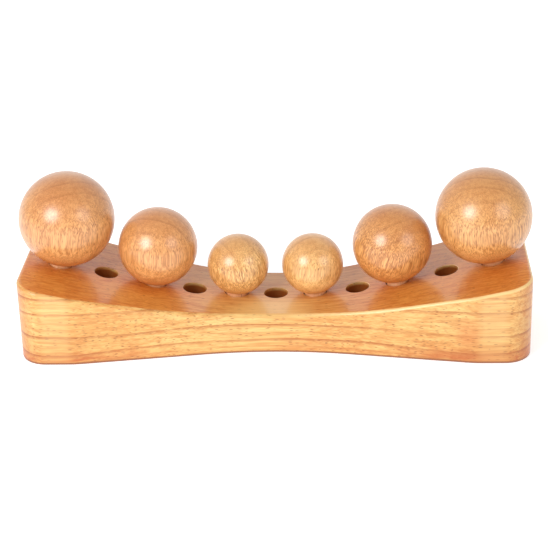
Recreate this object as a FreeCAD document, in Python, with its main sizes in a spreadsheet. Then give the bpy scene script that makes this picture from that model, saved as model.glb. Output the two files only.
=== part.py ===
"""Wooden roller massager: a scooped hardwood board with a row of drilled holes and six turned balls on pegs.

Frame: millimetres, origin on the resting plane under the middle of the board, +X along the board to the
right, +Y towards the back, +Z up.  The board is symmetric about X = 0 and Y = 0.  Eleven blind holes stand in
one row along the middle of the scooped top.  Hole 0 is in the middle and holes 1 to 5 go out from it on each
side, every hole leaning a little more towards the middle.  Balls on pegs stand in holes 1 (small), 3 (medium)
and 5 (large) of each side; holes 0, 2 and 4 are left free.  Each peg turns and lifts out of its hole, and
each ball turns on its peg.
"""
import FreeCAD, Part
import Sketcher
import math
import os

os.makedirs("parts", exist_ok=True)
doc = FreeCAD.newDocument("roller_massager")
Vector = FreeCAD.Vector

# ---------------------------------------------------------------- driving dimensions
SIZES = {
    # the board, seen from above: straight ends, rounded corners and long sides drawn in to a waist;
    # its length follows from the row of balls and the margin beyond the outermost hole, and
    # waist_reach is how far the waist's arc goes from the middle before the straight flank
    "end_margin": 25.6,
    "end_depth": 113.0,
    "waist_depth": 75.0,
    "corner_radius": 19.5,
    "end_flat": 16.5,
    "shoulder_radius": 60.0,
    "waist_reach": 54.0,
    # the board, seen from the front: an arc in the middle that runs out into two straight ramps
    "middle_thickness": 30.4,
    "scoop_radius": 430.0,
    "scoop_half_width": 94.0,
    "top_edge_round": 2.5,
    "foot_edge_round": 1.2,
    # the holes: depth, and lean towards the middle, counted out from the middle hole
    "hole_depth": 20.0,
    "hole_rim_round": 0.5,
    "hole_lean_1": 4.0,
    "hole_lean_2": 6.0,
    "hole_lean_3": 7.5,
    "hole_lean_4": 10.0,
    "hole_lean_5": 12.0,
    # the pegs, their play in the holes on every side, and their clearance from the holes' floors
    "peg_diameter": 16.0,
    "peg_play": 0.8,
    "peg_end_chamfer": 1.0,
    "peg_floor_gap": 0.3,
    # the balls, how deep each peg goes into its ball, and the running clearance of the ball on it
    "large_ball": 70.0,
    "medium_ball": 58.0,
    "small_ball": 45.0,
    "large_grip": 40.0,
    "medium_grip": 33.0,
    "small_grip": 26.0,
    "bore_clearance": 0.1,
    "bore_end_gap": 0.3,
    # the room left between neighbouring balls, measured along the board between their holes,
    # and how far a free hole lies outward of halfway between the holes beside it
    "middle_half_room": 6.5,
    "inner_room": 9.3,
    "outer_room": 5.6,
    "free_hole_shift": 0.9,
    # how far each ball stands off the scooped top, from left to right
    "stand_off_large_left": 1.5,
    "stand_off_medium_left": 0.1,
    "stand_off_small_left": 0.2,
    "stand_off_small_right": 0.2,
    "stand_off_medium_right": 1.1,
    "stand_off_large_right": 1.5,
}

# size word, side of the board (-1 left, +1 right) and hole number of each ball, from left to right
BALLS = [
    ("large", -1, 5),
    ("medium", -1, 3),
    ("small", -1, 1),
    ("small", 1, 1),
    ("medium", 1, 3),
    ("large", 1, 5),
]
SIDE_NAMES = {-1: "left", 1: "right"}
HOLE_NUMBERS = [1, 2, 3, 4, 5]

sheet = doc.addObject("Spreadsheet::Sheet", "Sizes")
for row, (name, value) in enumerate(SIZES.items(), start=1):
    sheet.set(f"A{row}", name)
    sheet.set(f"B{row}", str(value))
    sheet.setAlias(f"B{row}", name)
doc.recompute()


# ---------------------------------------------------------------- sizes in expressions
def cell(name):
    """One cell of the sheet, as a word in an expression."""
    return f"<<Sizes>>.{name}"


def value(expression):
    """What an expression comes to with the sheet as it stands."""
    return float(sheet.evalExpression(str(expression)))


def size(name):
    return value(cell(name))


def hole_places():
    """How far each hole's mouth is from the middle of the board, as expressions."""
    small, medium, large = (cell(f"{kind}_ball") for kind in ("small", "medium", "large"))
    place = {1: f"({small} / 2 + {cell('middle_half_room')})"}
    place[3] = f"({place[1]} + ({small} + {medium}) / 2 + {cell('inner_room')})"
    place[5] = f"({place[3]} + ({medium} + {large}) / 2 + {cell('outer_room')})"
    for free in (2, 4):
        place[free] = f"(({place[free - 1]} + {place[free + 1]}) / 2 + {cell('free_hole_shift')})"
    return place


HOLE_PLACE = hole_places()
HALF_LENGTH = f"({HOLE_PLACE[5]} + {cell('end_margin')})"
HOLE_DIAMETER = f"({cell('peg_diameter')} + 2 * {cell('peg_play')})"
BALL_BORE = f"({cell('peg_diameter')} / 2 + {cell('bore_clearance')})"
# the scoop's waste reaches past the board's ends and above its highest point
WASTE_REACH = f"({HALF_LENGTH} + {cell('corner_radius')})"
WASTE_TOP = f"({cell('middle_thickness')} + {HALF_LENGTH})"


def scoop_height(x):
    """Height of the scooped top at a distance x from the middle, as an expression."""
    radius, half_width = cell("scoop_radius"), cell("scoop_half_width")
    reach = f"min({x}; {half_width})"
    rise = f"{radius} - sqrt({radius}^2 - {reach}^2)"
    slope = f"{half_width} / sqrt({radius}^2 - {half_width}^2)"
    return f"({cell('middle_thickness')} + {rise} + ({x} - {reach}) * {slope})"


# ---------------------------------------------------------------- helpers


def check(feature):
    """Recompute, and stop when a feature failed or has no valid shape."""
    doc.recompute()
    if "Invalid" in feature.State or "Error" in feature.State:
        raise RuntimeError(f"{feature.Name} failed: {feature.State}")
    if feature.Shape.isNull() or not feature.Shape.isValid():
        raise RuntimeError(f"{feature.Name} has no valid shape")
    return feature


def check_cut(feature, before, least):
    """A cut that points away from the wood removes nothing and says nothing, so the volumes are compared."""
    check(feature)
    removed = before - feature.Shape.Volume
    if removed < least:
        raise RuntimeError(f"{feature.Name} removed {removed:.0f} mm3, expected at least {least:.0f} mm3")
    return feature


def new_body(label):
    body = doc.addObject("PartDesign::Body", label)
    body.Label = label
    return body


def new_sketch(body, name, plane_role):
    """A sketch on one of the body's own origin planes."""
    plane = next(item for item in body.Origin.OriginFeatures if item.Role == plane_role)
    sketch = body.newObject("Sketcher::SketchObject", name)
    sketch.AttachmentSupport = (plane, [""])
    sketch.MapMode = "FlatFace"
    return sketch


def line(sketch, start, end):
    return sketch.addGeometry(Part.LineSegment(Vector(*start, 0), Vector(*end, 0)), False)


def arc(sketch, centre, radius, start_angle, end_angle):
    circle = Part.Circle(Vector(*centre, 0), Vector(0, 0, 1), radius)
    return sketch.addGeometry(Part.ArcOfCircle(circle, start_angle, end_angle), False)


def tie(sketch, *constraint):
    return sketch.addConstraint(Sketcher.Constraint(*constraint))


def dimension(sketch, expression, *constraint):
    """A measured constraint, bound to the sheet."""
    index = tie(sketch, *constraint)
    sketch.setExpression(f"Constraints[{index}]", expression)
    return index


def finish_sketch(sketch):
    check(sketch)
    if not sketch.FullyConstrained:
        raise RuntimeError(f"{sketch.Name} isn't fully constrained")
    return sketch


# names for the points of a sketch element, and for the sketch's own origin and upright axis
START, END, CENTRE = 1, 2, 3
ORIGIN, UPRIGHT = (-1, 1), -2
# a point this near to a surface lies on it
TOLERANCE = 0.01


def stand_in_hole(feature, side, number, below="0"):
    """Bind a placement to a hole: +Z out along the hole's axis, origin below the middle of its mouth."""
    place, lean = HOLE_PLACE[number], cell(f"hole_lean_{number}")
    tilt_axis = Vector(0, -side, 0)
    feature.Placement = FreeCAD.Placement(Vector(0, 0, 0), FreeCAD.Rotation(tilt_axis, size(f"hole_lean_{number}")))
    feature.setExpression("Placement.Base.x", f"{side} * ({place} + {below} * sin({lean}))")
    feature.setExpression("Placement.Base.z", f"{scoop_height(place)} - {below} * cos({lean})")
    feature.setExpression("Placement.Rotation.Angle", lean)


# ---------------------------------------------------------------- the board
def board_outline(body):
    """One quarter of the board's outline: waist arc, straight flank, shoulder arc, end flat and corner."""
    half_length, half_end, half_waist = value(HALF_LENGTH), size("end_depth") / 2, size("waist_depth") / 2
    corner, shoulder, waist_reach = size("corner_radius"), size("shoulder_radius"), size("waist_reach")
    shoulder_x = half_length - corner - size("end_flat")
    # a first guess of the flank's angle; the sketch's own constraints then settle it
    flank = math.atan2(half_end - half_waist, shoulder_x - waist_reach / 2)
    waist = waist_reach / math.sin(flank)
    waist_centre = (0, half_waist + waist)
    shoulder_centre = (shoulder_x, half_end - shoulder)
    flank_foot = (waist_reach, waist_centre[1] - waist * math.cos(flank))
    flank_top = (shoulder_centre[0] - shoulder * math.sin(flank), shoulder_centre[1] + shoulder * math.cos(flank))
    quarter_turn = math.pi / 2

    sketch = new_sketch(body, "board_outline", "XY_Plane")
    middle = line(sketch, (0, 0), (half_length, 0))
    end = line(sketch, (half_length, 0), (half_length, half_end - corner))
    corner_arc = arc(sketch, (half_length - corner, half_end - corner), corner, 0, quarter_turn)
    flat = line(sketch, (half_length - corner, half_end), (shoulder_x, half_end))
    shoulder_arc = arc(sketch, shoulder_centre, shoulder, quarter_turn, quarter_turn + flank)
    flank_line = line(sketch, flank_top, flank_foot)
    waist_arc = arc(sketch, waist_centre, waist, -quarter_turn, -quarter_turn + flank)
    centre_line = line(sketch, (0, half_waist), (0, 0))
    tie(sketch, "Coincident", middle, START, *ORIGIN)
    tie(sketch, "Horizontal", middle)
    tie(sketch, "Coincident", middle, END, end, START)
    tie(sketch, "Vertical", end)
    tie(sketch, "Tangent", end, END, corner_arc, START)
    tie(sketch, "Tangent", corner_arc, END, flat, START)
    tie(sketch, "Horizontal", flat)
    tie(sketch, "Tangent", flat, END, shoulder_arc, START)
    tie(sketch, "Tangent", shoulder_arc, END, flank_line, START)
    tie(sketch, "Tangent", flank_line, END, waist_arc, END)
    tie(sketch, "Coincident", waist_arc, START, centre_line, START)
    tie(sketch, "Vertical", centre_line)
    tie(sketch, "Coincident", centre_line, END, middle, START)
    tie(sketch, "PointOnObject", waist_arc, CENTRE, UPRIGHT)
    dimension(sketch, HALF_LENGTH, "DistanceX", middle, START, middle, END, half_length)
    dimension(sketch, f"{cell('end_depth')} / 2", "DistanceY", middle, START, flat, START, half_end)
    dimension(sketch, f"{cell('waist_depth')} / 2", "DistanceY", middle, START, waist_arc, START, half_waist)
    dimension(sketch, cell("end_flat"), "DistanceX", flat, END, flat, START, size("end_flat"))
    dimension(sketch, cell("corner_radius"), "Radius", corner_arc, corner)
    dimension(sketch, cell("shoulder_radius"), "Radius", shoulder_arc, shoulder)
    dimension(sketch, cell("waist_reach"), "DistanceX", middle, START, waist_arc, END, waist_reach)
    return finish_sketch(sketch)


def scoop_profile(body):
    """What is sawn off the top, seen from the front: an arc, a tangent ramp on each side, and the waste above."""
    radius, half_width = size("scoop_radius"), size("scoop_half_width")
    past_end, waste_top = value(WASTE_REACH), value(WASTE_TOP)
    swing = math.asin(half_width / radius)
    down = 3 * math.pi / 2
    edge, tip = value(scoop_height(half_width)), value(scoop_height(past_end))

    sketch = new_sketch(body, "scoop_profile", "XZ_Plane")
    scoop = arc(sketch, (0, size("middle_thickness") + radius), radius, down - swing, down + swing)
    ramps = {}
    sides = {}
    for side, arc_end in ((1, END), (-1, START)):
        ramps[side] = line(sketch, (side * half_width, edge), (side * past_end, tip))
        sides[side] = line(sketch, (side * past_end, tip), (side * past_end, waste_top))
        tie(sketch, "Tangent", scoop, arc_end, ramps[side], START)
        tie(sketch, "Coincident", ramps[side], END, sides[side], START)
        tie(sketch, "Vertical", sides[side])
    top = line(sketch, (past_end, waste_top), (-past_end, waste_top))
    tie(sketch, "Coincident", sides[1], END, top, START)
    tie(sketch, "Coincident", sides[-1], END, top, END)
    tie(sketch, "Horizontal", top)
    tie(sketch, "PointOnObject", scoop, CENTRE, UPRIGHT)
    tie(sketch, "Horizontal", scoop, START, scoop, END)
    tie(sketch, "Horizontal", ramps[-1], END, ramps[1], END)
    dimension(sketch, cell("scoop_radius"), "Radius", scoop, radius)
    dimension(sketch, f"{cell('middle_thickness')} + {cell('scoop_radius')}",
              "DistanceY", *ORIGIN, scoop, CENTRE, size("middle_thickness") + radius)
    dimension(sketch, f"2 * {cell('scoop_half_width')}", "DistanceX", scoop, START, scoop, END, 2 * half_width)
    dimension(sketch, f"2 * {WASTE_REACH}", "DistanceX", top, END, top, START, 2 * past_end)
    dimension(sketch, WASTE_TOP, "DistanceY", *ORIGIN, top, START, waste_top)
    return finish_sketch(sketch)


def edges_where(shape, test):
    """Names of the edges whose every sampled point passes the test."""
    names = []
    for index, item in enumerate(shape.Edges, start=1):
        first, last = item.ParameterRange
        if all(test(item.valueAt(first + (last - first) * share)) for share in (0.1, 0.5, 0.9)):
            names.append(f"Edge{index}")
    return names


def is_on_top(point):
    return abs(point.z - value(scoop_height(abs(point.x)))) < TOLERANCE


def round_edges(body, name, base, edge_names, radius_cell):
    fillet = body.newObject("PartDesign::Fillet", name)
    fillet.Base = (base, edge_names)
    fillet.setExpression("Radius", cell(radius_cell))
    return check_cut(fillet, base.Shape.Volume, TOLERANCE)


def drill_hole(body, side, number):
    """One blind hole, cut by a cylinder that stands on the hole's floor; hole 0 is upright, in the middle."""
    before = body.Tip.Shape.Volume
    name = f"hole_{SIDE_NAMES[side]}_{number}" if number else "hole_middle"
    cutter = body.newObject("PartDesign::SubtractiveCylinder", name)
    cutter.setExpression("Radius", f"{HOLE_DIAMETER} / 2")
    cutter.setExpression("Height", f"{cell('hole_depth')} + {HOLE_DIAMETER}")
    if number:
        stand_in_hole(cutter, side, number, below=cell("hole_depth"))
    else:
        cutter.setExpression("Placement.Base.z", f"{cell('middle_thickness')} - {cell('hole_depth')}")
    hole_volume = math.pi * (value(HOLE_DIAMETER) / 2) ** 2 * size("hole_depth")
    return check_cut(cutter, before, 0.9 * hole_volume)


def make_board():
    body = new_body("base_board")
    blank = body.newObject("PartDesign::Pad", "quarter_blank")
    blank.Profile = board_outline(body)
    blank.setExpression("Length", f"{WASTE_TOP} - {cell('corner_radius')}")
    check(blank)

    quarters = body.newObject("PartDesign::MultiTransform", "four_quarters")
    quarters.Originals = [blank]
    mirrors = []
    for name, role in (("front_to_back", "XZ_Plane"), ("left_to_right", "YZ_Plane")):
        mirror = doc.addObject("PartDesign::Mirrored", name)
        mirror.MirrorPlane = (next(item for item in body.Origin.OriginFeatures if item.Role == role), [""])
        mirrors.append(mirror)
    quarters.Transformations = mirrors
    body.Tip = quarters
    check(quarters)

    scoop = body.newObject("PartDesign::Pocket", "scoop")
    scoop.Profile = scoop_profile(body)
    scoop.Midplane = True
    scoop.setExpression("Length", f"{cell('end_depth')} + 2 * {cell('corner_radius')}")
    waste = 2 * value(HALF_LENGTH) * size("waist_depth") * size("middle_thickness")
    check_cut(scoop, quarters.Shape.Volume, waste)

    crease = round_edges(body, "crease_round", scoop, edges_where(scoop.Shape, is_on_top), "top_edge_round")
    foot_edges = edges_where(crease.Shape, lambda point: abs(point.z) < TOLERANCE)
    round_edges(body, "foot_round", crease, foot_edges, "foot_edge_round")

    drill_hole(body, 1, 0)
    for number in HOLE_NUMBERS:
        for side in SIDE_NAMES:
            drill_hole(body, side, number)

    drilled = body.Tip
    near_row = value(HOLE_DIAMETER) / 2 + TOLERANCE
    rims = edges_where(drilled.Shape, lambda point: abs(point.y) < near_row and is_on_top(point))
    round_edges(body, "rim_round", drilled, rims, "hole_rim_round")
    return body


# ---------------------------------------------------------------- the pegs and balls
def make_peg(label, kind, side, number, stand_off):
    """A dowel with chamfered ends, from just above the hole's floor to just short of the ball's bore end."""
    radius, chamfer = size("peg_diameter") / 2, size("peg_end_chamfer")
    foot = -(size("hole_depth") - size("peg_floor_gap"))
    head = size(stand_off) + size(f"{kind}_grip")
    body = new_body(label)
    sketch = new_sketch(body, f"{label}_profile", "XZ_Plane")
    points = [(0, foot), (radius - chamfer, foot), (radius, foot + chamfer),
              (radius, head - chamfer), (radius - chamfer, head), (0, head)]
    sides = [line(sketch, start, end) for start, end in zip(points, points[1:] + points[:1])]
    for before, after in zip(sides, sides[1:] + sides[:1]):
        tie(sketch, "Coincident", before, END, after, START)
    floor, foot_bevel, wall, head_bevel, top, middle = sides
    tie(sketch, "Horizontal", floor)
    tie(sketch, "Vertical", wall)
    tie(sketch, "Horizontal", top)
    tie(sketch, "PointOnObject", middle, START, UPRIGHT)
    tie(sketch, "Vertical", middle)
    dimension(sketch, f"{cell('peg_diameter')} / 2", "DistanceX", middle, END, wall, START, radius)
    for bevel, first, last in ((foot_bevel, START, END), (head_bevel, END, START)):
        dimension(sketch, cell("peg_end_chamfer"), "DistanceX", bevel, first, bevel, last, chamfer)
    dimension(sketch, cell("peg_end_chamfer"), "DistanceY", foot_bevel, START, foot_bevel, END, chamfer)
    dimension(sketch, cell("peg_end_chamfer"), "DistanceY", head_bevel, START, head_bevel, END, chamfer)
    dimension(sketch, f"{cell('hole_depth')} - {cell('peg_floor_gap')}",
              "DistanceY", floor, START, *ORIGIN, -foot)
    dimension(sketch, f"{cell(stand_off)} + {cell(kind + '_grip')}", "DistanceY", *ORIGIN, top, END, head)
    revolve(body, finish_sketch(sketch), f"{label}_turned")
    stand_in_hole(body, side, number)
    return body


def make_ball(label, kind, side, number, stand_off):
    """A turned ball, bored from below for its peg; the bore is open at the bottom and blind above."""
    radius = size(f"{kind}_ball") / 2
    bore = value(BALL_BORE)
    centre = size(stand_off) + radius
    bore_end = size(stand_off) + size(f"{kind}_grip") + size("bore_end_gap")
    mouth = centre - math.sqrt(radius ** 2 - bore ** 2)
    body = new_body(label)
    sketch = new_sketch(body, f"{label}_profile", "XZ_Plane")
    skin = arc(sketch, (0, centre), radius, -math.acos(bore / radius), math.pi / 2)
    wall = line(sketch, (bore, mouth), (bore, bore_end))
    end = line(sketch, (bore, bore_end), (0, bore_end))
    middle = line(sketch, (0, bore_end), (0, centre + radius))
    tie(sketch, "Coincident", skin, START, wall, START)
    tie(sketch, "Vertical", wall)
    tie(sketch, "Coincident", wall, END, end, START)
    tie(sketch, "Horizontal", end)
    tie(sketch, "Coincident", end, END, middle, START)
    tie(sketch, "Coincident", middle, END, skin, END)
    tie(sketch, "Vertical", middle)
    tie(sketch, "PointOnObject", skin, CENTRE, UPRIGHT)
    tie(sketch, "PointOnObject", middle, START, UPRIGHT)
    dimension(sketch, f"{cell(kind + '_ball')} / 2", "Radius", skin, radius)
    dimension(sketch, BALL_BORE, "DistanceX", end, END, end, START, bore)
    dimension(sketch, f"{cell(stand_off)} + {cell(kind + '_ball')} / 2", "DistanceY", *ORIGIN, skin, CENTRE, centre)
    dimension(sketch, f"{cell(stand_off)} + {cell(kind + '_grip')} + {cell('bore_end_gap')}",
              "DistanceY", *ORIGIN, end, END, bore_end)
    revolve(body, finish_sketch(sketch), f"{label}_turned")
    stand_in_hole(body, side, number)
    return body


def revolve(body, sketch, name):
    """Turn a half profile once round the body's own upright axis."""
    turned = body.newObject("PartDesign::Revolution", name)
    turned.Profile = sketch
    turned.ReferenceAxis = (sketch, ["V_Axis"])
    turned.Angle = 360
    return check(turned)


# ---------------------------------------------------------------- the whole massager
parts = [make_board()]
for kind, side, number in BALLS:
    side_name = SIDE_NAMES[side]
    stand_off = f"stand_off_{kind}_{side_name}"
    parts.append(make_peg(f"{kind}_peg_{side_name}", kind, side, number, stand_off))
    parts.append(make_ball(f"{kind}_ball_{side_name}", kind, side, number, stand_off))

doc.recompute()
for item in doc.Objects:
    if "Invalid" in item.State or "Error" in item.State:
        raise RuntimeError(f"{item.Name} failed: {item.State}")
for body in parts:
    shape = body.Shape
    if shape.isNull() or not shape.isValid() or len(shape.Solids) != 1:
        raise RuntimeError(f"{body.Label} isn't one valid solid")
for body in parts:
    body.Shape.exportStep(f"parts/{body.Label}.step")
    box = body.Shape.BoundBox
    print(f"{body.Label}: {body.Shape.Volume / 1000:.1f} cm3, {box.XLength:.1f} x {box.YLength:.1f} x "
          f"{box.ZLength:.1f} mm, top at {box.ZMax:.1f}")
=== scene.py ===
# %% [markdown]
# # A wooden roller massager
# The real object is a heavy board of pale hardwood with a scooped top and a drawn-in waist.
# Eleven holes run along it, and six turned balls stand in every other hole on short dowel pegs.
# A thin satin lacquer covers it all.  The CAD model already has the right shapes, down to the
# rounded edges and the drilled holes, so all of its nodes stay.  What is left to do is the wood:
# growth rings, fibre streaks, short dark pores, end grain that is browner than side grain, and the
# soft shine of the lacquer under studio lights.
#
# A picture of wood could be wrapped round each piece, but its lines would break at every edge.
# Solid wood is cut out of a log, and a ring that shows on the front comes out on the end as well.
# A texture in 3-D space does just that, so every pattern below reads Object coordinates.

# %% The frame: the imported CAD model, in metres
import bpy
import math
from mathutils import Matrix, Vector


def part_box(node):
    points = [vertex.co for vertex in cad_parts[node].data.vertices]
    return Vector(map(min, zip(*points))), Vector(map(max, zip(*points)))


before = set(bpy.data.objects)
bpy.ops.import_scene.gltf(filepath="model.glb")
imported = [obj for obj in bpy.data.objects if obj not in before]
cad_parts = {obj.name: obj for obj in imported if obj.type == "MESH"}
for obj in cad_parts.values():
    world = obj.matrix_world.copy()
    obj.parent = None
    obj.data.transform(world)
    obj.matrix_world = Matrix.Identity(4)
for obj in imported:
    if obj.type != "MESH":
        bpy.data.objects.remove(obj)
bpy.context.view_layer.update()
scene = bpy.context.scene
print("CAD nodes:", ", ".join(sorted(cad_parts)))

# %% [markdown]
# ## Helpers for shader nodes
# A shader can be clicked together in the node editor, or written down.  Written down it needs a
# few moves over and over: add a node and fill its sockets, do a sum, stretch a value from one
# range to another, and mix two colours.  Each gets a short function here, so that the wood below
# reads like a recipe.

# %% Add a node, and do sums with nodes
def add_node(tree, kind, settings=None, sockets=None):
    """Add a node; a socket is found by its name or number and takes a value or a link."""
    node = tree.nodes.new(kind)
    for name, setting in (settings or {}).items():
        setattr(node, name, setting)
    for name, source in (sockets or {}).items():
        socket = node.inputs[name]
        if isinstance(source, bpy.types.NodeSocket):
            tree.links.new(source, socket)
        else:
            socket.default_value = source
    return node


def maths(tree, operation, first, second=0.0, third=0.0):
    """A sum on plain values."""
    sockets = {0: first, 1: second, 2: third}
    return add_node(tree, "ShaderNodeMath", {"operation": operation}, sockets).outputs[0]


def product(tree, first, *others):
    """Multiply values; with masks, what is left is where all of them hold."""
    for other in others:
        first = maths(tree, "MULTIPLY", first, other)
    return first


def vector_maths(tree, operation, first, second=(0.0, 0.0, 0.0)):
    """A sum on vectors; a length or a dot product comes out as a plain value."""
    sockets = {0: first, 1: second}
    node = add_node(tree, "ShaderNodeVectorMath", {"operation": operation}, sockets)
    return node.outputs["Value" if operation in ("LENGTH", "DOT_PRODUCT") else "Vector"]


print("helpers for nodes and sums:", add_node.__name__, maths.__name__, product.__name__,
      vector_maths.__name__)

# %% Stretch, mix, tint, split and noise
COLOUR_A, COLOUR_B, MIXED_COLOUR = 6, 7, 2


def stretch(tree, value, low, high, to_low=0.0, to_high=1.0):
    """Take a value from one range to another, softly and clamped; low may be above high."""
    sockets = {"Value": value, "From Min": low, "From Max": high, "To Min": to_low,
               "To Max": to_high}
    node = add_node(tree, "ShaderNodeMapRange", {"interpolation_type": "SMOOTHSTEP"}, sockets)
    return node.outputs["Result"]


def mix(tree, share, first, second, way="MIX"):
    """Cover so much of the first colour with the second."""
    settings = {"data_type": "RGBA", "blend_type": way}
    sockets = {0: share, COLOUR_A: first, COLOUR_B: second}
    return add_node(tree, "ShaderNodeMix", settings, sockets).outputs[MIXED_COLOUR]


def tint(tree, share, colour, glaze):
    """Multiply a colour by another, as a glaze does."""
    return mix(tree, share, colour, glaze, "MULTIPLY")


def split(tree, vector):
    """The X, Y and Z of a vector."""
    return add_node(tree, "ShaderNodeSeparateXYZ", sockets={"Vector": vector}).outputs


def noise(tree, place, density, detail=2.0, output="Fac"):
    """Noise with so many lumps a metre along each axis."""
    sockets = {"Vector": vector_maths(tree, "MULTIPLY", place, density), "Scale": 1.0,
               "Detail": detail}
    return add_node(tree, "ShaderNodeTexNoise", None, sockets).outputs[output]


def coordinates(tree, output):
    return add_node(tree, "ShaderNodeTexCoord").outputs[output]


print("helpers for colours and patterns:", stretch.__name__, mix.__name__, tint.__name__,
      split.__name__, noise.__name__, coordinates.__name__)

# %% [markdown]
# ## Solid wood as one node group
# All thirteen pieces are wood, so the wood is a node group with named sockets, and each material
# places it with its own values.  The first axis of its space is the fibre direction.
#
# Growth rings are shells round the pith, a line along the fibres that lies outside the piece: the
# distance to it, divided by the ring spacing, counts the rings.  A ring is pale at first and
# darkens to a line where the season ended.  White noise gives each ring number its own strength,
# which is why only a few stand out.

# %% The wood group and its sockets
def empty_group(name, inputs, outputs):
    """A shader node group with named sockets; also gives its input and output sockets."""
    group = bpy.data.node_groups.new(name, "ShaderNodeTree")
    for in_out, sockets in (("INPUT", inputs), ("OUTPUT", outputs)):
        for socket_name, kind in sockets:
            group.interface.new_socket(socket_name, in_out=in_out, socket_type="NodeSocket" + kind)
    given = group.nodes.new("NodeGroupInput").outputs
    result = group.nodes.new("NodeGroupOutput").inputs
    return group, given, result


wood_group, given, result = empty_group(
    "solid_wood",
    [("Place", "Vector"), ("End grain", "Float"), ("Pith", "Vector"), ("Ring spacing", "Float"),
     ("Ring strength", "Float"), ("First ring", "Float"), ("Streak strength", "Float"),
     ("Fleck strength", "Float"), ("Pore amount", "Float"), ("Pale wood", "Color"),
     ("Deep wood", "Color"), ("Line wood", "Color"), ("Pore wood", "Color")],
    [("Colour", "Color"), ("Height", "Float"), ("Tone", "Float")])
print("the wood group takes:", ", ".join(socket.name for socket in given if socket.name))

# %% Fibres that wander a little
NOISE_MIDDLE = (0.5, 0.5, 0.5)
WANDER_DENSITY = (6.0, 22.0, 22.0)
WANDER_REACH = (0.0, 0.010, 0.010)
wander = noise(wood_group, given["Place"], WANDER_DENSITY, output="Color")
wander = vector_maths(wood_group, "SUBTRACT", wander, NOISE_MIDDLE)
wander = vector_maths(wood_group, "MULTIPLY", wander, WANDER_REACH)
place = vector_maths(wood_group, "ADD", given["Place"], wander)
print("fibres wander by up to", 500 * WANDER_REACH[1], "mm")

# %% Growth rings
ACROSS_FIBRES = (0.0, 1.0, 1.0)
STRENGTH_RANGE, FAINTEST_RING = (0.25, 1.0), 0.12
LATE_WOOD_STARTS, LINE_STARTS, LINE_FADES = 0.45, 0.93, 0.95
BREAK_DENSITY, BREAK_RANGE, FAINTEST_BREAK = (14.0, 60.0, 60.0), (0.3, 0.6), 0.45
from_pith = vector_maths(wood_group, "SUBTRACT", place, given["Pith"])
from_pith = vector_maths(wood_group, "MULTIPLY", from_pith, ACROSS_FIBRES)
count = maths(wood_group, "DIVIDE", vector_maths(wood_group, "LENGTH", from_pith),
              given["Ring spacing"])
number = maths(wood_group, "ADD", maths(wood_group, "FLOOR", count), given["First ring"])
strength = add_node(wood_group, "ShaderNodeTexWhiteNoise", {"noise_dimensions": "1D"},
                    {"W": number})
strength = stretch(wood_group, strength.outputs["Value"], *STRENGTH_RANGE, FAINTEST_RING, 1.0)
season = maths(wood_group, "FRACT", count)
line = product(wood_group, stretch(wood_group, season, LATE_WOOD_STARTS, LINE_STARTS),
               stretch(wood_group, season, 1.0, LINE_FADES))
breaks = noise(wood_group, place, BREAK_DENSITY)
breaks = stretch(wood_group, breaks, *BREAK_RANGE, FAINTEST_BREAK, 1.0)
ring = product(wood_group, line, strength, breaks, given["Ring strength"])
print("a ring darkens from", LATE_WOOD_STARTS, "of the year and is a line at", LINE_STARTS)

# %% [markdown]
# ## Fibres, flecks and pores
# Fibres are noise that is stretched along the grain: broad streaks, and fine flecks that are dark
# or golden.  Seen from the end the same stretched lumps turn into dots, without any more work.
# Pores are the short dark dashes of rubberwood: a Voronoi pattern makes long cells, and a share of
# the cells holds a dash.  End grain shows all of this more faintly, and it turns browner, partly
# because it drinks more lacquer and partly as painted shade where the board's corners turn away.

# %% Streaks and tone
CLOUD_DENSITY = (11.0, 30.0, 30.0)
STREAK_DENSITY = (12.0, 420.0, 420.0)
CLOUD_SHARE = 0.6
TONE_RANGE = (0.38, 0.64)
STREAK_RANGE = (0.42, 0.66)
SIDE_GRAIN_RANGE, SHOWN_ON_END_GRAIN = (1.0, 0.15), 0.3
coarse = noise(wood_group, place, STREAK_DENSITY, detail=3.0)
tone = maths(wood_group, "ADD",
             product(wood_group, noise(wood_group, place, CLOUD_DENSITY), CLOUD_SHARE),
             product(wood_group, coarse, 1 - CLOUD_SHARE))
tone = stretch(wood_group, tone, *TONE_RANGE)
colour = mix(wood_group, tone, given["Pale wood"], given["Deep wood"])
colour = mix(wood_group, ring, colour, given["Line wood"])
side_grain = stretch(wood_group, given["End grain"], *SIDE_GRAIN_RANGE, SHOWN_ON_END_GRAIN, 1.0)
streak = product(wood_group, stretch(wood_group, coarse, *STREAK_RANGE),
                 given["Streak strength"], side_grain)
colour = mix(wood_group, streak, colour, given["Line wood"])
print("streaks are about", round(1000 / STREAK_DENSITY[1], 1), "mm wide and",
      round(1000 / STREAK_DENSITY[0]), "mm long")

# %% Dark and golden flecks
FLECK_DENSITY = (60.0, 1450.0, 1450.0)
DARK_FLECK_RANGE, GOLDEN_FLECK_RANGE = (0.44, 0.68), (0.5, 0.28)
GOLDEN_GLAZE = (1.13, 1.2, 1.28, 1)
fine = noise(wood_group, place, FLECK_DENSITY)
fleck_share = product(wood_group, given["Fleck strength"], side_grain)
dark_fleck = product(wood_group, stretch(wood_group, fine, *DARK_FLECK_RANGE), fleck_share)
colour = mix(wood_group, dark_fleck, colour, given["Line wood"])
golden_wood = tint(wood_group, 1.0, given["Pale wood"], GOLDEN_GLAZE)
golden_fleck = product(wood_group, stretch(wood_group, fine, *GOLDEN_FLECK_RANGE), fleck_share)
colour = mix(wood_group, golden_fleck, colour, golden_wood)
print("flecks are about", round(1000 / FLECK_DENSITY[1], 1), "mm wide and",
      round(1000 / FLECK_DENSITY[0]), "mm long")

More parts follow.
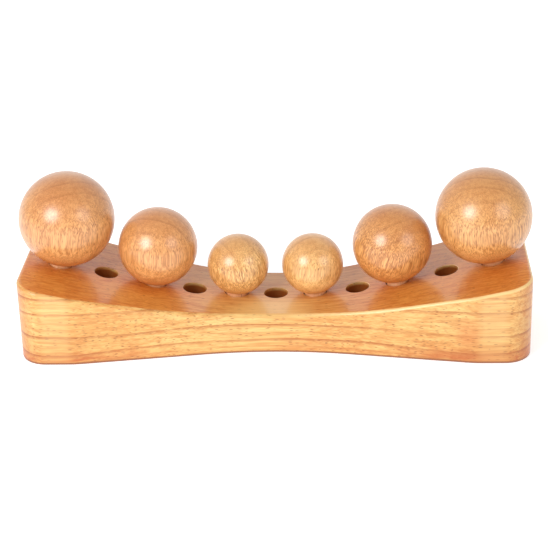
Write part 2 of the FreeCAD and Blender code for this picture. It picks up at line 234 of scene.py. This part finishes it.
# %% Pores, in loose patches
PORE_CELLS = (190.0, 1300.0, 1300.0)
PATCH_DENSITY = (55.0, 55.0, 55.0)
PATCH_RANGE, FEWEST_PORES, MOST_PORES = (0.35, 0.65), 0.35, 1.5
PORE_EDGE, PORE_CORE = 0.42, 0.16
PORE_DARKNESS = 0.85
cells = add_node(wood_group, "ShaderNodeTexVoronoi", {"feature": "F1"},
                 {"Vector": vector_maths(wood_group, "MULTIPLY", place, PORE_CELLS), "Scale": 1.0})
chance = add_node(wood_group, "ShaderNodeSeparateColor", None, {"Color": cells.outputs["Color"]})
patches = noise(wood_group, place, PATCH_DENSITY, detail=1.0)
patches = stretch(wood_group, patches, *PATCH_RANGE, FEWEST_PORES, MOST_PORES)
chosen = maths(wood_group, "LESS_THAN", chance.outputs["Red"],
               product(wood_group, given["Pore amount"], patches))
pore = product(wood_group, stretch(wood_group, cells.outputs["Distance"], PORE_EDGE, PORE_CORE),
               chosen)
colour = mix(wood_group, product(wood_group, pore, side_grain, PORE_DARKNESS), colour,
             given["Pore wood"])
print("pore cells are", round(1000 / PORE_CELLS[0], 1), "mm long and",
      round(1000 / PORE_CELLS[1], 1), "mm wide")

# %% Browner end grain, partly painted shade, and the group's outputs
END_GRAIN_TONE_AND_SHADE, END_GRAIN_RANGE = (0.91, 0.83, 0.80, 1), (0.3, 0.95)
FLECK_RELIEF, PORE_DEPTH = 0.15, 0.35
# Browner end grain: partly the wood's own, partly painted shade on the board's corners.
colour = tint(wood_group, stretch(wood_group, given["End grain"], *END_GRAIN_RANGE), colour,
              END_GRAIN_TONE_AND_SHADE)
height = maths(wood_group, "SUBTRACT", product(wood_group, fine, FLECK_RELIEF),
               product(wood_group, pore, PORE_DEPTH))
for name, source in (("Colour", colour), ("Height", height), ("Tone", tone)):
    wood_group.links.new(source, result[name])
print("the wood group has", len(wood_group.nodes), "nodes")

# %% [markdown]
# ## The lacquered wood material
# One function makes every wood material.  A Mapping node moves the piece's centre to its own spot
# in the log and turns the fibres onto the group's first axis.  The group's Height sinks the pores
# through a Bump node, and a clear coat over the wood is the lacquer: it mirrors the studio softly,
# most of all at a glancing angle, which gives the balls their pale rims.

# %% Lacquered wood
PORE_WOOD = (0.27, 0.075, 0.012, 1)
GRAIN_RELIEF, GRAIN_STRENGTH = 0.0002, 0.35
WOOD_SHINE, LACQUER_IOR = 0.3, 1.6
TONE_ROUGHNESS = 0.06


def lacquered_wood(name, fibres, centre, colours, figure, roughness, lacquer_roughness,
                   log_place=(0, 0, 0)):
    """A wood material; with it come its tree, the wood group's node and the shader."""
    material = bpy.data.materials.new(name)
    material.use_nodes = True
    tree = material.node_tree
    tree.nodes.clear()
    fibres = Vector(fibres).normalized()
    turn = fibres.rotation_difference(Vector((1, 0, 0)))
    turned = add_node(tree, "ShaderNodeMapping", None, {
        "Vector": coordinates(tree, "Object"), "Rotation": turn.to_euler(),
        "Location": Vector(log_place) - turn @ Vector(centre)})
    end_grain = vector_maths(tree, "DOT_PRODUCT", coordinates(tree, "Normal"), fibres)
    sockets = dict(figure, **{"Pith": Vector(figure["Pith"]) + Vector(log_place)})
    sockets.update(zip(("Pale wood", "Deep wood", "Line wood"), colours))
    sockets.update({"Place": turned.outputs["Vector"], "Pore wood": PORE_WOOD,
                    "End grain": maths(tree, "ABSOLUTE", end_grain)})
    wood = add_node(tree, "ShaderNodeGroup", {"node_tree": wood_group}, sockets)
    bump = add_node(tree, "ShaderNodeBump", None, {
        "Height": wood.outputs["Height"], "Strength": GRAIN_STRENGTH, "Distance": GRAIN_RELIEF})
    roughness = maths(tree, "MULTIPLY_ADD", wood.outputs["Tone"], TONE_ROUGHNESS, roughness)
    shader = add_node(tree, "ShaderNodeBsdfPrincipled", None, {
        "Base Color": wood.outputs["Colour"], "Normal": bump.outputs["Normal"],
        "Roughness": roughness, "Specular IOR Level": WOOD_SHINE, "Coat Weight": 1.0,
        "Coat Roughness": lacquer_roughness, "Coat IOR": LACQUER_IOR})
    add_node(tree, "ShaderNodeOutputMaterial", None, {"Surface": shader.outputs["BSDF"]})
    return material, tree, wood, shader


print("grain relief, mm:", 1000 * GRAIN_RELIEF)

# %% [markdown]
# ## The board
# The board is sawn so that its growth lines run along the front, two of them much darker than the
# rest.  The pith therefore lies far below it, and the ring spacing and first ring are chosen so
# that strong rings come out at 11 and 22 mm above the table.  The fibres run along the board.
# How strongly the rings and pores show is left to the next step, because it changes over the board.

# %% The board's wood
def dress(node, material):
    """Give a CAD node its finish in place of the plain one."""
    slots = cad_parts[node].data.materials
    slots.clear()
    slots.append(material)
    print(node, "wears", material.name)


BOARD_COLOURS = ((0.80, 0.53, 0.19, 1), (0.74, 0.37, 0.10, 1), (0.44, 0.14, 0.022, 1))
BOARD_FIGURE = {"Pith": (0.0, -0.03, -0.25), "Ring spacing": 0.005935, "First ring": 3781,
                "Streak strength": 0.3, "Fleck strength": 0.3}
BOARD_ROUGHNESS, BOARD_LACQUER_ROUGHNESS = 0.48, 0.17
ALONG_BOARD, BOARD_CENTRE = (1, 0, 0), (0, 0, 0)
board_wood, tree, wood, shader = lacquered_wood(
    "board_wood", ALONG_BOARD, BOARD_CENTRE, BOARD_COLOURS, BOARD_FIGURE, BOARD_ROUGHNESS,
    BOARD_LACQUER_ROUGHNESS)
colour = wood.outputs["Colour"]
spot = split(tree, coordinates(tree, "Object"))
facing = split(tree, coordinates(tree, "Normal"))
from_middle = maths(tree, "ABSOLUTE", spot["X"])
dress("base_board", board_wood)

# %% [markdown]
# The top is painted a deeper orange than the front: painted shade, since the frontal lights reach
# it at a low angle.  It takes least of it in the shallow middle, which stays lighter as a painted
# sheen.
# The growth lines and pores hardly show on the top.  The direction that the surface faces tells the
# top from the sides.  A strip along the front of the middle is a paler painted highlight.

# %% Painted shade on the scooped top, and a painted highlight along its middle
UPWARD = (0.86, 0.965)
RINGS_ON_SIDES, RINGS_ON_TOP = 0.95, 0.12
PORES_ON_SIDES, PORES_ON_TOP = 0.30, 0.10
TOP_PAINTED_SHADE, TOP_SHADE_FROM, TOP_SHADE_IN_MIDDLE = (0.97, 0.60, 0.31, 1), (0.025, 0.08), 0.55
MIDDLE_PAINTED_HIGHLIGHT, MIDDLE_HIGHLIGHT_SHARE = (0.95, 0.62, 0.24, 1), 0.5
MIDDLE_HIGHLIGHT_ACROSS, MIDDLE_HIGHLIGHT_TO_FRONT = (0.04, 0.01), (-0.008, -0.022)
scooped = stretch(tree, facing["Z"], *UPWARD)
upright = maths(tree, "SUBTRACT", 1.0, scooped)
for name, on_sides, on_top in (("Ring strength", RINGS_ON_SIDES, RINGS_ON_TOP),
                               ("Pore amount", PORES_ON_SIDES, PORES_ON_TOP)):
    tree.links.new(stretch(tree, scooped, 0.0, 1.0, on_sides, on_top), wood.inputs[name])
top_shade = stretch(tree, from_middle, *TOP_SHADE_FROM, TOP_SHADE_IN_MIDDLE, 1.0)
# Painted shade: the scooped top is darkened, least of all in the middle.
colour = tint(tree, product(tree, scooped, top_shade), colour, TOP_PAINTED_SHADE)
middle_highlight = product(tree, scooped, stretch(tree, from_middle, *MIDDLE_HIGHLIGHT_ACROSS, 0.0, MIDDLE_HIGHLIGHT_SHARE),
                 stretch(tree, spot["Y"], *MIDDLE_HIGHLIGHT_TO_FRONT))
# Painted highlight: a paler strip along the front of the middle.
colour = mix(tree, middle_highlight, colour, MIDDLE_PAINTED_HIGHLIGHT)
print("the top takes", TOP_SHADE_IN_MIDDLE, "of its glaze in the middle and all of it from",
      1000 * TOP_SHADE_FROM[1], "mm out")

# %% [markdown]
# This board has some figure of its own: reddish heartwood low down at both ends and a reddish
# cloud near the right end of the front.  Painted light comes on top: painted shade on the corners,
# which turn away from the front, and a pale painted highlight just before each corner.  Each is a
# soft mask made of where a spot lies or which way it faces.

# %% Painted corner shade, heartwood, painted highlight bands and a reddish cloud
CORNER_PAINTED_SHADE, CORNER_TURN = (0.92, 0.77, 0.67, 1), (0.3, 0.95)
HEARTWOOD, HEARTWOOD_TONES = (0.55, 0.15, 0.03, 1), (0.0, 0.8, 0.3, 0.75)
HEARTWOOD_HEIGHTS, HEARTWOOD_OUTWARDS = (0.012, 0.004), (0.06, 0.15)
PAINTED_HIGHLIGHT_BAND, BAND_SHARE = (0.90, 0.66, 0.32, 1), 0.18
BAND_STARTS, BAND_ENDS = (0.143, 0.151), (0.170, 0.162)
REDDISH_CLOUD, REDDISH_SHARE = (0.66, 0.21, 0.05, 1), 0.45
REDDISH_CENTRE, REDDISH_PER_METRE = (0.139, -0.055, 0.023), (75.0, 20.0, 60.0)
REDDISH_EDGE = (1.0, 0.2)
turned_away = stretch(tree, maths(tree, "ABSOLUTE", facing["X"]), *CORNER_TURN)
# Painted shade on the corners, where they turn away from the front.
colour = tint(tree, turned_away, colour, CORNER_PAINTED_SHADE)
low_ends = product(tree, stretch(tree, spot["Z"], *HEARTWOOD_HEIGHTS),
                   stretch(tree, from_middle, *HEARTWOOD_OUTWARDS),
                   stretch(tree, wood.outputs["Tone"], *HEARTWOOD_TONES), upright)
colour = mix(tree, low_ends, colour, HEARTWOOD)
band = product(tree, stretch(tree, from_middle, *BAND_STARTS),
               stretch(tree, from_middle, *BAND_ENDS), upright, BAND_SHARE)
# Painted highlight: a pale stripe just before each corner.
colour = mix(tree, band, colour, PAINTED_HIGHLIGHT_BAND)
from_cloud = vector_maths(tree, "SUBTRACT", coordinates(tree, "Object"), REDDISH_CENTRE)
from_cloud = vector_maths(tree, "MULTIPLY", from_cloud, REDDISH_PER_METRE)
from_cloud = vector_maths(tree, "LENGTH", from_cloud)
reddish = stretch(tree, from_cloud, *REDDISH_EDGE, 0.0, REDDISH_SHARE)
colour = mix(tree, reddish, colour, REDDISH_CLOUD)
print("heartwood up to", 1000 * HEARTWOOD_HEIGHTS[0], "mm, reddish cloud",
      [round(2000 / value) for value in REDDISH_PER_METRE], "mm across")

# %% [markdown]
# The crease between the top and the front carries a painted highlight, paler towards the right.
# The lowest part of the sides is a duller orange, most of all at both ends.  The foot has a thin
# dark line of painted contact shadow on the little rounding.

# %% Painted crease highlight, lower side and painted foot shadow
CREASE_PAINTED_HIGHLIGHT, CREASE_SHARE = (0.95, 0.68, 0.30, 1), 0.7
CREASE_TURN, CREASE_TO_RIGHT = (0.12, 0.5), (-0.03, 0.08)
LOW_SIDE_TINT, LOW_HEIGHTS = (0.98, 0.88, 0.80, 1), (0.020, 0.002)
LOW_END_TINT, END_HEIGHTS, END_OUTWARDS = (0.88, 0.79, 0.68, 1), (0.045, 0.0), (0.07, 0.15)
FOOT_PAINTED_SHADOW, FOOT_SHADOW_HEIGHTS = (0.26, 0.08, 0.02, 1), (0.0024, 0.0012)
crease = product(tree, stretch(tree, facing["Z"], *CREASE_TURN),
                 stretch(tree, facing["Z"], *reversed(UPWARD)),
                 stretch(tree, spot["X"], *CREASE_TO_RIGHT, 0.0, CREASE_SHARE))
# Painted highlight along the crease, stronger towards the right.
colour = mix(tree, crease, colour, CREASE_PAINTED_HIGHLIGHT)
colour = tint(tree, stretch(tree, spot["Z"], *LOW_HEIGHTS), colour, LOW_SIDE_TINT)
dull_ends = product(tree, stretch(tree, from_middle, *END_OUTWARDS),
                    stretch(tree, spot["Z"], *END_HEIGHTS), upright)
colour = tint(tree, dull_ends, colour, LOW_END_TINT)
# Painted shadow: a thin dark contact line along the foot.
colour = mix(tree, stretch(tree, spot["Z"], *FOOT_SHADOW_HEIGHTS), colour, FOOT_PAINTED_SHADOW)
print("the foot line is", 1000 * FOOT_SHADOW_HEIGHTS[1], "mm high and fades out at",
      1000 * FOOT_SHADOW_HEIGHTS[0], "mm")

# %% [markdown]
# The holes were drilled after the wood was finished.  Their walls are bare, so they have no coat.
# They are coloured dark and ruddy, partly for the bare wood and partly as painted shade deep in
# the hole.  A spot lies in a hole if it is near the centre line and under the scooped top.  The
# height of that top is known: it is an arc in the middle and a straight ramp on each side.  An arc
# rises by about half the square of the distance over its radius, and a touch more where it is
# steeper.

# %% Bare drilled holes, dark with painted shade
SCOOP_RADIUS, SCOOP_HALF_WIDTH, RAMP_SLOPE = 0.430, 0.094, 0.224
MIDDLE_THICKNESS = 0.0304
ARC_SHARE = 0.506
HOLE_HALF_WIDTH, HOLE_ROW_END, UNDERSIDE = 0.0091, 0.178, 0.002
BARE_FROM, BARE_AT = 0.0006, 0.003
BARE_SHADED_HOLE, BARE_SHADED_SHARE = (0.30, 0.07, 0.008, 1), 0.95
BOARD_LACQUER = 0.6
in_scoop = maths(tree, "MINIMUM", from_middle, SCOOP_HALF_WIDTH)
rise = product(tree, in_scoop, in_scoop, ARC_SHARE / SCOOP_RADIUS)
ramp = product(tree, maths(tree, "SUBTRACT", from_middle, in_scoop), RAMP_SLOPE)
top = maths(tree, "ADD", maths(tree, "ADD", rise, ramp), MIDDLE_THICKNESS)
depth = maths(tree, "SUBTRACT", top, spot["Z"])
in_hole = product(
    tree, stretch(tree, depth, BARE_FROM, BARE_AT),
    maths(tree, "LESS_THAN", maths(tree, "ABSOLUTE", spot["Y"]), HOLE_HALF_WIDTH),
    maths(tree, "LESS_THAN", from_middle, HOLE_ROW_END),
    maths(tree, "GREATER_THAN", spot["Z"], UNDERSIDE))
# Partly painted shade: the hole walls are darkened below the rim.
colour = mix(tree, product(tree, in_hole, BARE_SHADED_SHARE), colour, BARE_SHADED_HOLE)
coat = maths(tree, "MULTIPLY_ADD", in_hole, -BOARD_LACQUER, BOARD_LACQUER)
tree.links.new(colour, shader.inputs["Base Color"])
tree.links.new(coat, shader.inputs["Coat Weight"])
print("the board's material has", len(tree.nodes), "nodes")

# %% [markdown]
# ## The pegs
# The pegs are cut from dowel.  Only a thin crescent of each shows between its ball and the board,
# and it is pinker and duller than the lacquered wood.  The fibres run along the dowel, nearly
# upright.

# %% The pegs' wood
PEG_COLOURS = ((0.86, 0.45, 0.22, 1), (0.80, 0.38, 0.17, 1), BOARD_COLOURS[2])
PEG_FIGURE = {"Pith": (0.0, 0.0, -0.2), "Ring spacing": 0.006, "Ring strength": 0.15,
              "First ring": 0, "Streak strength": 0.1, "Fleck strength": 0.15,
              "Pore amount": 0.08}
PEG_ROUGHNESS, PEG_LACQUER_ROUGHNESS = 0.5, 0.3
UPRIGHT_FIBRES, LOG_CENTRE = (0, 0, 1), (0, 0, 0)
peg_wood = lacquered_wood("peg_wood", UPRIGHT_FIBRES, LOG_CENTRE, PEG_COLOURS, PEG_FIGURE,
                          PEG_ROUGHNESS, PEG_LACQUER_ROUGHNESS)[0]
for node in sorted(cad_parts):
    if "_peg_" in node:
        dress(node, peg_wood)

# %% [markdown]
# ## The balls
# The balls were turned from other, browner sticks of the same wood, with the grain roughly
# upright, so their tops show end grain and their sides show streaks.  No two came from the same
# place, so each ball has its own fibre direction, its own spot in the log, its own glaze and its
# own share of flecks and pores.

# %% The balls' wood
BALL_COLOURS = ((0.78, 0.40, 0.138), (0.68, 0.30, 0.086), (0.38, 0.13, 0.026))
BALL_FIGURE = {"Ring spacing": 0.0048, "Ring strength": 0.4, "First ring": 0,
               "Streak strength": 0.3}
BALL_ROUGHNESS, BALL_LACQUER_ROUGHNESS = 0.45, 0.28
LOG_STEP = Vector((0.31, 0.17, 0.11))
BALLS = {
    # ball: fibres, glaze, pith, flecks, pores
    "large_ball_left": ((0.14, -0.10, 1.0), (0.97, 0.92, 0.94), (0, 0.05, 0.03), 0.75, 0.45),
    "medium_ball_left": ((0.05, 0.05, 1.0), (1.02, 0.99, 1.04), (0, 0.06, -0.02), 0.65, 0.4),
    "small_ball_left": ((-0.15, -0.05, 1.0), (1.12, 1.31, 1.45), (0, 0.03, -0.05), 0.85, 0.9),
    "small_ball_right": ((0.12, 0.1, 1.0), (1.13, 1.30, 1.44), (0, 0.07, 0.01), 0.6, 0.4),
    "medium_ball_right": ((0.22, -0.15, 1.0), (0.99, 0.93, 0.86), (0, 0.04, 0.04), 0.9, 0.75),
    "large_ball_right": ((-0.03, -0.12, 1.0), (1.0, 1.0, 0.98), (0, 0.07, 0.0), 0.8, 0.45),
}
for step, (node, (fibres, glaze, pith, flecks, pores)) in enumerate(BALLS.items()):
    low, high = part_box(node)
    centre = (Vector(low) + Vector(high)) / 2
    colours = [[value * share for value, share in zip(base, glaze)] + [1] for base in BALL_COLOURS]
    figure = dict(BALL_FIGURE, **{"Pith": pith, "Fleck strength": flecks, "Pore amount": pores})
    ball_wood = lacquered_wood(node + "_wood", fibres, centre, colours, figure, BALL_ROUGHNESS,
                               BALL_LACQUER_ROUGHNESS, LOG_STEP * step)[0]
    dress(node, ball_wood)

# %% [markdown]
# ## The camera
# The object is seen from a little right of the middle, from about 25 degrees above, through a long
# lens, so its upright edges stay nearly parallel.  Three angles place the camera: how far it is
# turned, how far it looks down, and how far it is rolled.  From them come the three directions
# that a camera's matrix is made of.

# %% A camera from three angles
CAMERA_PLACE = Vector((0.0581, -1.1238, 0.5627))
CAMERA_TURN, CAMERA_DIP, CAMERA_ROLL = map(math.radians, (-2.982, 24.71, 1.587))
CAMERA_LENS, SENSOR_WIDTH = 109.73, 36.0
ahead = Vector((math.sin(CAMERA_TURN) * math.cos(CAMERA_DIP),
                math.cos(CAMERA_TURN) * math.cos(CAMERA_DIP), -math.sin(CAMERA_DIP)))
level = Vector((math.cos(CAMERA_TURN), -math.sin(CAMERA_TURN), 0))
down = ahead.cross(level)
right = math.cos(CAMERA_ROLL) * level + math.sin(CAMERA_ROLL) * down
up = math.sin(CAMERA_ROLL) * level - math.cos(CAMERA_ROLL) * down

camera_data = bpy.data.cameras.new("camera")
camera_data.lens = CAMERA_LENS
camera_data.sensor_width = SENSOR_WIDTH
camera = bpy.data.objects.new("camera", camera_data)
scene.collection.objects.link(camera)
turned_to = Matrix((right, up, -ahead)).transposed().to_4x4()
camera.matrix_world = Matrix.Translation(CAMERA_PLACE) @ turned_to
scene.camera = camera
print("camera at", [round(value, 3) for value in CAMERA_PLACE], "with a", CAMERA_LENS, "mm lens")

# %% [markdown]
# ## Floor, studio and lights
# The floor is a plain white table.  A little emission keeps it evenly white, as a light table
# would, so that only the faintest shadow is left.  The studio round it is white too: brightest
# behind the object, where it gives the lacquer its pale sheen, and dimmer overhead and at the
# sides, where it lets the tops of the balls turn brown.

# %% The floor
FLOOR_WIDTH = 12
WHITE, FLOOR_WHITE = (1, 1, 1, 1), (0.93, 0.93, 0.93, 1)
FLOOR_ROUGHNESS, FLOOR_GLOW = 0.9, 0.5
bpy.ops.object.select_all(action="DESELECT")
bpy.ops.mesh.primitive_plane_add(size=FLOOR_WIDTH, location=(0, 0, 0))
floor = bpy.context.object
floor.name = "floor"
floor_material = bpy.data.materials.new("white_table")
floor_material.use_nodes = True
floor_shader = floor_material.node_tree.nodes["Principled BSDF"]
for name, setting in (("Base Color", FLOOR_WHITE), ("Roughness", FLOOR_ROUGHNESS),
                      ("Emission Color", WHITE), ("Emission Strength", FLOOR_GLOW)):
    floor_shader.inputs[name].default_value = setting
floor.data.materials.append(floor_material)
print("floor:", FLOOR_WIDTH, "m wide")

# %% The studio
HORIZON, ZENITH = 0.80, 0.46
HORIZON_ENDS, ZENITH_STARTS = 0.5, 0.95
BRIGHTER_BEHIND, DIMMER_SIDES = (-0.12, 0.5, 0.0), -0.45
world = bpy.data.worlds.new("studio")
world.use_nodes = True
sky = world.node_tree
direction = coordinates(sky, "Generated")
towards = split(sky, direction)
brightness = stretch(sky, towards["Z"], HORIZON_ENDS, ZENITH_STARTS, HORIZON, ZENITH)
lean = maths(sky, "ADD", vector_maths(sky, "DOT_PRODUCT", direction, BRIGHTER_BEHIND), 1.0)
sides = maths(sky, "MULTIPLY_ADD", product(sky, towards["X"], towards["X"]), DIMMER_SIDES, 1.0)
seen = add_node(sky, "ShaderNodeLightPath").outputs["Is Camera Ray"]
brightness = maths(sky, "MAXIMUM", product(sky, brightness, lean, sides), seen)
background = sky.nodes["Background"]
background.inputs["Color"].default_value = WHITE
sky.links.new(brightness, background.inputs["Strength"])
scene.world = world
scene.view_settings.view_transform = "Standard"
print("studio brightness:", HORIZON, "at the horizon,", ZENITH, "overhead")

# %% [markdown]
# Each ball shows two soft highlights, a strong one on the left and a weak one on the right, a
# little above its middle.  A mirror ball shows a lamp halfway between the camera and the lamp, so
# the lamps stand about 35 degrees left and 42 degrees right of the camera, slightly above it.  The
# key stands nearer, so the left end is lighter.

# %% Two round softboxes
LIGHT_TARGET = Vector((0, 0, 0.06))


def softbox(name, across, above, distance, width, power):
    """A round area light, so many degrees right of the camera's direction and above it."""
    across, above = math.radians(across), math.radians(above)
    towards_light = (math.sin(across) * math.cos(above) * right + math.sin(above) * up
                     - math.cos(across) * math.cos(above) * ahead)
    light = bpy.data.lights.new(name, "AREA")
    light.shape = "DISK"
    light.size = width
    light.energy = power
    lamp = bpy.data.objects.new(name, light)
    lamp.location = LIGHT_TARGET + towards_light * distance
    lamp.rotation_euler = towards_light.to_track_quat("Z", "Y").to_euler()
    scene.collection.objects.link(lamp)
    print(name, "stands", distance, "m away with", power, "W")


softbox("key", across=-35, above=7, distance=1.35, width=0.68, power=12.1)
softbox("fill", across=42, above=8, distance=1.8, width=1.1, power=7.7)
